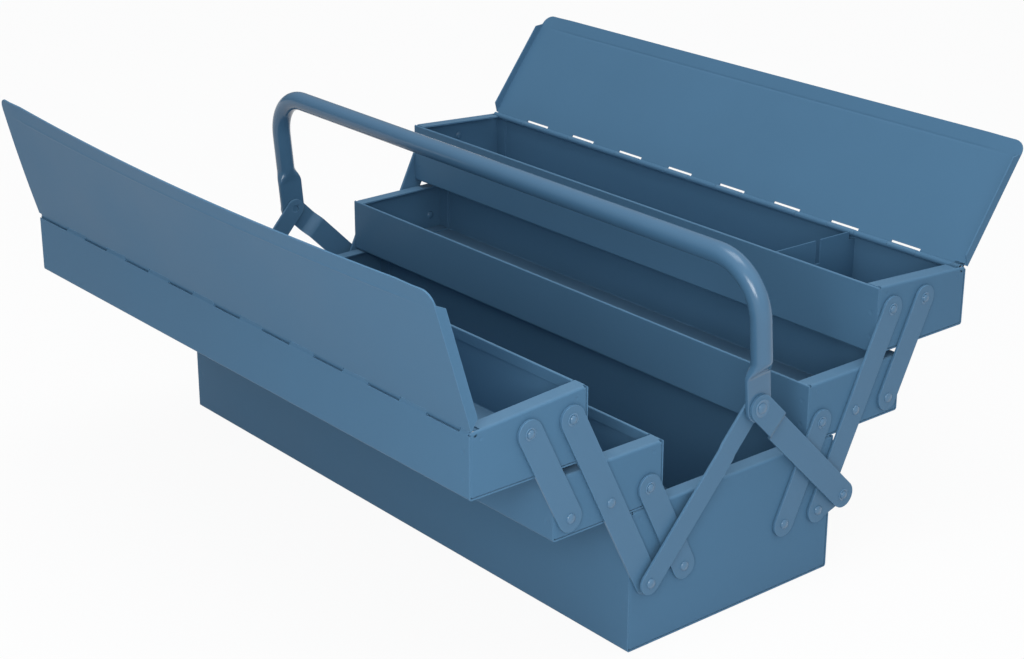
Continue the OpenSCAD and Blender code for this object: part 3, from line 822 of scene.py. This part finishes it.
# %% Both lids
def lid(row, side):
    """A rolled, creased and bowed lid, drawn shut and then opened round its pin."""
    part = row + "_lid"
    hinge = hinges[row]
    reach, lean = lid_edge(part, hinge)
    reach += lid_longer
    at_middle, to_right, at_ends = bow_degrees[row]

    def opened(x, out, up, bow=0):
        turn = math.radians(90 + bow) + lean
        y = up * math.sin(turn) - out * math.cos(turn)
        return (x, side * (abs(hinge.y) + y), hinge.z + out * math.sin(turn) + up * math.cos(turn))

    def place(out, up, x):
        share = x / lid_wide
        bow = at_middle + to_right * share + at_ends * share * share
        return opened(x, out, up + creased(out, x, reach), bow * min(1, max(0, out / reach)))

    def spans(point):
        if point.x < lid_start + fine_gap:
            return (-knuckle_end, knuckle_end)
        past = max(0, point.x - (reach - lid_corner)) / lid_corner
        half = lid_wide - lid_corner * (1 - math.sqrt(max(0, 1 - past * past)))
        return (-half, half)

    flat_part = reach - crease_in - crease_half
    stop = reach - lid_corner
    outs = [lid_start, lid_start + 2 * fine_gap]
    outs += [flat_part * k / flat_steps for k in range(1, flat_steps)]
    outs += [flat_part + 2 * crease_half * k / crease_steps for k in range(crease_steps + 1)]
    outs += [stop + lid_corner * ray(90 * k / corner_steps).y for k in range(corner_steps + 1)]
    line = curl((0, 0), lid_plane, roll_start, 90)
    line += [(Vector((out, lid_plane)), Vector((0, 1))) for out in outs]
    made = swept_sheet(part + "_sheet", line, spans, lid_sheet, place, lid_columns)
    under = lid_plane - lid_sheet / 2
    seat = under + lid_sheet * flange_seat
    ends = [(lid_start + 2 * fine_gap, seat), (lid_start + lid_flange, under - lid_flange),
            (stop - lid_flange, under - lid_flange), (stop, seat)]
    for hand in hands.values():
        bm = bmesh.new()
        faces = [[bm.verts.new(place(out, up, x)) for out, up in ends]
                 for x in (hand * (lid_wide - lid_sheet), hand * lid_wide)]
        for face in faces:
            bm.faces.new(face)
        for i in range(len(ends)):
            bm.faces.new((faces[0][i - 1], faces[0][i], faces[1][i], faces[1][i - 1]))
        carve(made, new_object("flange", bm), "UNION")
    past = knuckle_radius + fine_gap
    cuts = [((left, -past, -past), (right, slot_high[row], past)) for left, right in slots]
    carve(made, blocks(cuts, opened))
    stand_in(made, part)


for row, side in sides.items():
    lid(row, side)

# %% [markdown]
# ## Arms and links
# The arms are flat steel straps with round ends. A strap is a swept sheet too: its line runs along
# the strap and its width follows a half circle at each end. The rear links are joggled, because they
# have to pass over the handle's flat ends, so their line takes a smooth step. The front links have
# a much smaller one the other way, just under the handle.

# %% Straps
tip_angles = [math.radians(a) for a in (6, 14, 24, 36, 50, 65, 82, 90)]
step_points = 8
strap_round = 0.35 * MM
hole_radius = 3.05 * MM
punch_clear = 5 * MM


def strap_solid(name, start, end, width, layer, hand, step=None):
    """A flat strap with round ends from one rivet to another, each (y, z), in a layer of x."""
    start, end = Vector(start), Vector(end)
    length = (end - start).length
    along = (end - start) / length
    across = Vector((-along.y, along.x))
    radius = width / 2
    begin, run, height = step or (0, 1, 0)
    stations = [-radius * math.cos(a) for a in tip_angles]
    if step:
        stations += [begin + run * k / step_points for k in range(step_points + 1)]
    stations += [length + radius * math.cos(a) for a in reversed(tip_angles)]
    line = []
    for s in stations:
        t = min(1, max(0, (s - begin) / run))
        slope = height * 6 * t * (1 - t) / run
        middle = sum(layer) / 2 + height * eased(t)
        line.append((Vector((s, middle)), Vector((-slope, 1)).normalized()))

    def spans(point):
        past = max(0, -point.x, point.x - length)
        half = math.sqrt(max(0, radius * radius - past * past))
        return (-half, half)

    def place(s, x, w):
        spot = start + along * s + across * w
        return (hand * x, spot.x, spot.y)

    return swept_sheet(name, line, spans, layer[1] - layer[0], place)


def drill(piece, places, hand, radius=hole_radius):
    """Drills rivet holes at (y, z) through everything beside one end panel."""
    middle = hand * (arm_low + cover_high) / 2
    length = cover_high - arm_low + 2 * punch_clear
    carve(piece, rods([(middle, y, z) for y, z in places], radius, length))


# %% Folding arms
arm_width = 19 * MM
lobe_width = 17 * MM
arm_layer = (arm_low, arm_high)
arm_run = Vector((middle_pivot.y - pivot.y, middle_pivot.z - pivot.z))
crank_place = tuple(joint_at["rear_link_turn"].yz)
feet = {
    "long": (Vector((pivot.y, pivot.z)), 2),
    "lower": (Vector((pivot.y - spacing, pivot.z)), 1),
    "upper": (Vector((middle_pivot.y + spacing, middle_pivot.z)), 1),
}

for row, side in sides.items():
    for hand_name, hand in hands.items():
        for kind, (foot, runs) in feet.items():
            part = f"{row}_{hand_name}_{kind}_arm"
            holes = mirrored([foot + arm_run * k for k in range(runs + 1)], side)
            arm = strap_solid(part + "_strap", holes[0], holes[-1], arm_width, arm_layer, hand)
            if row == "rear" and kind == "long":
                lobe = strap_solid("lobe", holes[0], crank_place, lobe_width, arm_layer, hand)
                carve(arm, lobe, "UNION")
                holes.append(crank_place)
            drill(arm, holes, hand)
            stand_in(arm, part, strap_round)

# %% Handle links
link_layer = (link_low, link_high)
front_link_width = 16.5 * MM
rear_link_width = 19.5 * MM
joggle_start = 22 * MM
joggle_length = 10 * MM
tuck_start = 34 * MM
tuck_length = 5 * MM
tuck_depth = 0.8 * MM
link_play = 1.4 * MM
foot_place = tuple(joint_at["front_link_turn"].yz)
handle_place = tuple(joint_at["handle_swing"].yz)


def handle_link(part, foot, width, hand, from_top, run, height, play=0):
    """A strap from its foot up to the handle's rivet, with a smooth step below the top."""
    step = ((Vector(handle_place) - Vector(foot)).length - from_top - run, run, height)
    link = strap_solid(part + "_strap", foot, handle_place, width, link_layer, hand, step)
    drill(link, [foot], hand)
    drill(link, [handle_place], hand, hole_radius + play)
    stand_in(link, part, strap_round)


for hand_name, hand in hands.items():
    handle_link(hand_name + "_front_link", foot_place, front_link_width, hand,
                tuck_start, tuck_length, -tuck_depth)
    handle_link(hand_name + "_rear_link", crank_place, rear_link_width, hand,
                joggle_start, joggle_length, cover_high - link_high, link_play)

# %% [markdown]
# ## Rivets
# A rivet is a body of revolution: a formed head inside the panel, a shank, a thin collar between
# panel and arm, and a head outside. The heads at the tops of the arms, on the cranks and on the
# handle are small domes on a wide flat, the others plain buttons. Turning one outline round X makes
# a rivet in one piece, and the outline starts and ends on the axis, so the solid is closed.

# %% Turned rivets
collar_radius = 4.4 * MM
button_radius = 3.5 * MM
crown_radius = 2.9 * MM
wide_flat = 6.4 * MM
wide_crown = 4.0 * MM
flat_high = 0.45 * MM
ring_low = 0.135 * MM
head_high = 1.7 * MM
sides_of_rivet = 40
dome_angles = [math.radians(a) for a in (0, 10, 21, 33, 45, 58, 72, 84)]


def dome(x, radius, high):
    """Outline of a dome from its foot at x out to its crown, as (x, radius)."""
    return [(x + high * math.sin(a), radius * math.cos(a)) for a in dome_angles] + [(x + high, 0)]


def washer_head(x, flat, crown):
    """A dome that stands on a thin flat ring."""
    step = x + ring_low
    ring = [(x, flat), (step, flat), (x + flat_high, flat - flat_high), (step, crown + ring_low)]
    return ring + dome(step, crown, head_high - ring_low)


def turned(bm, outline, y, z, hand):
    """Adds the outline of (x, radius) turned round an axis along X at y, z."""
    rings = []
    angles = [2 * math.pi * k / sides_of_rivet for k in range(sides_of_rivet)]
    for x, radius in outline:
        spots = [(hand * x, y + radius * math.cos(a), z + radius * math.sin(a))
                 for a in (angles if radius else angles[:1])]
        rings.append([bm.verts.new(spot) for spot in spots])
    for first, second in zip(rings, rings[1:]):
        for k in range(sides_of_rivet):
            loop = [first[k % len(first)], first[(k + 1) % len(first)],
                    second[(k + 1) % len(second)], second[k % len(second)]]
            bm.faces.new(list(dict.fromkeys(loop)))


def shank(discs, stop):
    """Outline of a shank with discs of the given (x0, x1) on it, up to x = stop."""
    outline = []
    for x0, x1 in discs:
        outline += [(x0, shank_radius), (x0, collar_radius), (x1, collar_radius), (x1, shank_radius)]
    return outline + [(stop, shank_radius)]


# %% Kinds of rivet
stack_gap = 0.1 * MM
collar = (half_length, arm_low - stack_gap)
spacer = (arm_high + stack_gap, link_low - stack_gap)
over_arm = arm_high + stack_gap
over_link = link_high + stack_gap
over_cover = cover_high + stack_gap
inner_head = [(2 * panel_inside - x, r) for x, r in reversed(dome(panel_inside, button_radius, head_high))]
inner_head.append((panel_inside, shank_radius))
arm_shank = inner_head + shank([collar], over_arm)
arm_rivet = arm_shank + dome(over_arm, button_radius, head_high)
top_rivet = arm_shank + washer_head(over_arm, collar_radius, crown_radius)
link_rivet = inner_head + shank([collar, spacer], over_link) + dome(over_link, button_radius, head_high)
crank_rivet = [(arm_low, 0), (arm_low, shank_radius)] + shank([(arm_high, spacer[1])], over_link)
crank_rivet += washer_head(over_link, collar_radius, crown_radius)
handle_rivet = [(link_low, 0), (link_low, shank_radius)] + shank([], over_cover)
handle_rivet += washer_head(over_cover, wide_flat, wide_crown)
print("outline points of a rivet:", len(arm_rivet))

# %% All rivets
rivet_sets = {
    "base_pivot_rivets": [(spot, link_rivet if spot == foot_place else arm_rivet) for spot in base_rivets],
    "crank_rivets": [(crank_place, crank_rivet)],
    "handle_rivets": [(handle_place, handle_rivet)],
}
middle_kinds = (top_rivet, arm_rivet, arm_rivet)
for row, side in sides.items():
    rivet_sets[row + "_middle_rivets"] = list(zip(mirrored(middle_rivets, side), middle_kinds))
    rivet_sets[row + "_upper_rivets"] = [(spot, top_rivet) for spot in mirrored(upper_rivets, side)]

for part, rivets in rivet_sets.items():
    bm = bmesh.new()
    for (y, z), outline in rivets:
        for hand in hands.values():
            turned(bm, outline, y, z, hand)
    stand_in(new_object(part + "_heads", bm), part, 0)

# %% [markdown]
# ## Handle
# The handle is one steel tube, bent twice and pressed flat at both ends where the links hold it.
# Its section is swept along the bent line and changes from a circle to a flat oval on the way down.
# A curve with a bevel could make the round part, but not the pressed ends, so rings of points
# are joined instead.

# %% Handle sizes
tube_radius = 7.5 * MM
tube_bend = 37.5 * MM
handle_height = 102 * MM
flat_half_thick = 1.75 * MM
flat_half_wide = 11 * MM
flat_top = 22 * MM
round_from = 36 * MM
handle_lean = math.radians(5)
round_power = 2
flat_power = 7
grip_rings = 7
bend_rings = 14
press_rings = 16
tip_rings = 8
tip_degrees = 86.4
ring_points = 40
flat_middle = (link_low + cover_high) / 2
tube_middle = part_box("carry_handle")[1].x - tube_radius
print("tube from side to side:", round(2 * tube_middle / MM, 1), "mm")


# %% Sections along the tube
def half_path():
    """Rings from the middle of the grip to the right tip: place, lean and section."""
    rings = []
    bend_centre = Vector((tube_middle - tube_bend, handle_height - tube_bend))
    for k in range(grip_rings):
        spot = Vector((bend_centre.x * k / grip_rings, handle_height))
        rings.append((spot, 90, tube_radius, tube_radius, round_power))
    for k in range(bend_rings + 1):
        lean = 90 - 90 * k / bend_rings
        rings.append((bend_centre + ray(lean) * tube_bend, lean, tube_radius, tube_radius, round_power))
    for k in range(press_rings + 1):
        t = eased(k / press_rings)
        spot = Vector((tube_middle + (flat_middle - tube_middle) * t,
                       round_from - (round_from - flat_top) * k / press_rings))
        thick = tube_radius + (flat_half_thick - tube_radius) * t
        wide = tube_radius + (flat_half_wide - tube_radius) * t
        rings.append((spot, 0, thick, wide, round_power + (flat_power - round_power) * t * t))
    for k in range(tip_rings + 1):
        round_tip = ray(tip_degrees * k / tip_rings) * flat_half_wide
        rings.append((Vector((flat_middle, -round_tip.y)), 0, flat_half_thick, round_tip.x, flat_power))
    return rings


def power(value, exponent):
    """Keeps the sign and raises the size to the exponent."""
    return math.copysign(abs(value) ** exponent, value)


# %% The tube
bm = bmesh.new()
right_half = half_path()
left_half = [(Vector((-spot.x, spot.y)), 180 - lean, thick, wide, shape)
             for spot, lean, thick, wide, shape in right_half[1:]]
lean_back = Matrix.Translation(joint_at["handle_swing"]) @ Matrix.Rotation(handle_lean, 4, "X")
rings = []
for spot, lean, thick, wide, shape in left_half[::-1] + right_half:
    ring = []
    for k in range(ring_points):
        section = ray(360 * k / ring_points)
        point = spot + ray(lean) * thick * power(section.x, 2 / shape)
        sideways = wide * power(section.y, 2 / shape)
        ring.append(bm.verts.new(lean_back @ Vector((point.x, sideways, point.y))))
    rings.append(ring)
for first, second in zip(rings, rings[1:]):
    for k in range(ring_points):
        bm.faces.new((first[k - 1], first[k], second[k], second[k - 1]))
for ring in (rings[0], rings[-1]):
    bm.faces.new(ring)
handle = new_object("carry_handle_tube", bm)
for hand in hands.values():
    drill(handle, [handle_place], hand)
stand_in(handle, "carry_handle", 0)
print("pieces that replace a packed part:", len(stand_ins))

# %% [markdown]
# ## Parts that stay as packed
# The divider is a plain flat plate and the hinge pins are plain wire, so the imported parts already
# have the right shape. They only need their finish.

# %% Repainted parts
for part, packed in frame["nodes"].items():
    if not packed.hide_render:
        packed.data.materials.clear()
        packed.data.materials.append(finishes[slot_of[part]])
        print("repainted", part)

# %% [markdown]
# ## Floor and light
# The picture is a plain product shot: a white floor with no horizon and soft light from large
# panels. To the camera the floor shows mostly as plain white, with a small share of the lit paper,
# which keeps a faint shadow under the box. The room is brighter above and at the right end of the
# box, as in the photograph, so the strength of the world follows the direction. The lamps are kept
# at a level at which a colour renders about as it is written.


# %% White for the camera
def show_white(tree, lit, white_kind, output_kind, rays, share=1.0):
    """Shows the named kinds of ray white in place of the lit shader, by the share given."""
    path = node(tree, "ShaderNodeLightPath")
    seen = path.outputs[rays[0]]
    for kind in rays[1:]:
        seen = maths("ADD", seen, path.outputs[kind], clamp=True)
    white = node(tree, white_kind, Color=(1, 1, 1, 1), Strength=1.0)
    blend = node(tree, "ShaderNodeMixShader", Fac=maths("MULTIPLY", seen, share))
    feed(blend.inputs[1], lit.outputs[0])
    feed(blend.inputs[2], white.outputs[0])
    node(tree, output_kind, Surface=blend.outputs["Shader"])


# %% Floor
floor_reach = 9.0
floor_drop = 0.5 * MM
paper_tone = (0.62, 0.63, 0.64, 1)
paper_white = 0.94

floor_bm = bmesh.new()
bmesh.ops.create_grid(floor_bm, x_segments=1, y_segments=1, size=floor_reach)
floor = new_object("studio_floor", floor_bm)
floor.location.z = -floor_drop
paper = bpy.data.materials.new("studio_paper")
paper.use_nodes = True
paper.node_tree.nodes.clear()
matt = node(paper.node_tree, "ShaderNodeBsdfDiffuse", Color=paper_tone)
show_white(paper.node_tree, matt, "ShaderNodeEmission", "ShaderNodeOutputMaterial",
           ("Is Camera Ray", "Is Glossy Ray", "Is Transmission Ray"), paper_white)
floor.data.materials.append(paper)
floor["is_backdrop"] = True
print("floor:", 2 * floor_reach, "m across")

# %% World
room_tone = (0.95, 0.97, 1.0, 1)
room_strength = 0.45
stronger_toward = (0.30, 0.02, 0.38)

world = bpy.data.worlds.new("studio_world")
bpy.context.scene.world = world
world.use_nodes = True
sky = world.node_tree
sky.nodes.clear()
toward = node(sky, "ShaderNodeVectorMath", operation="DOT_PRODUCT")
feed(toward.inputs[0], node(sky, "ShaderNodeTexCoord").outputs["Generated"])
feed(toward.inputs[1], stronger_toward)
strength = maths("ADD", toward.outputs["Value"], room_strength, clamp=True)
room = node(sky, "ShaderNodeBackground", Color=room_tone, Strength=strength)
show_white(sky, room, "ShaderNodeBackground", "ShaderNodeOutputWorld", ("Is Camera Ray",))

# %% Lamps
middle = (Vector(cad_corners[0]) + Vector(cad_corners[1])) / 2


def soft_box(name, place, width, height, watts):
    """A large flat lamp that faces the middle of the box."""
    data = bpy.data.lights.new(name, "AREA")
    data.shape = "RECTANGLE"
    data.size = width
    data.size_y = height
    data.energy = watts
    lamp = in_scene(name, data)
    lamp.location = place
    lamp.rotation_euler = (middle - Vector(place)).to_track_quat("-Z", "Y").to_euler()
    print(name, watts, "W")


soft_box("near_box", place=(1.0, -1.0, 0.7), width=0.7, height=0.5, watts=11.5)
soft_box("overhead_box", place=(0.2, -0.1, 1.9), width=1.2, height=0.9, watts=15)
bpy.context.scene.view_settings.view_transform = "Standard"

# %% Size of the packed and the dressed box
seen_corners = [list(corner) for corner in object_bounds()]
for label, corners in (("packed box:", cad_corners), ("dressed box:", seen_corners)):
    print(label, [[round(c, 4) for c in corner] for corner in corners])
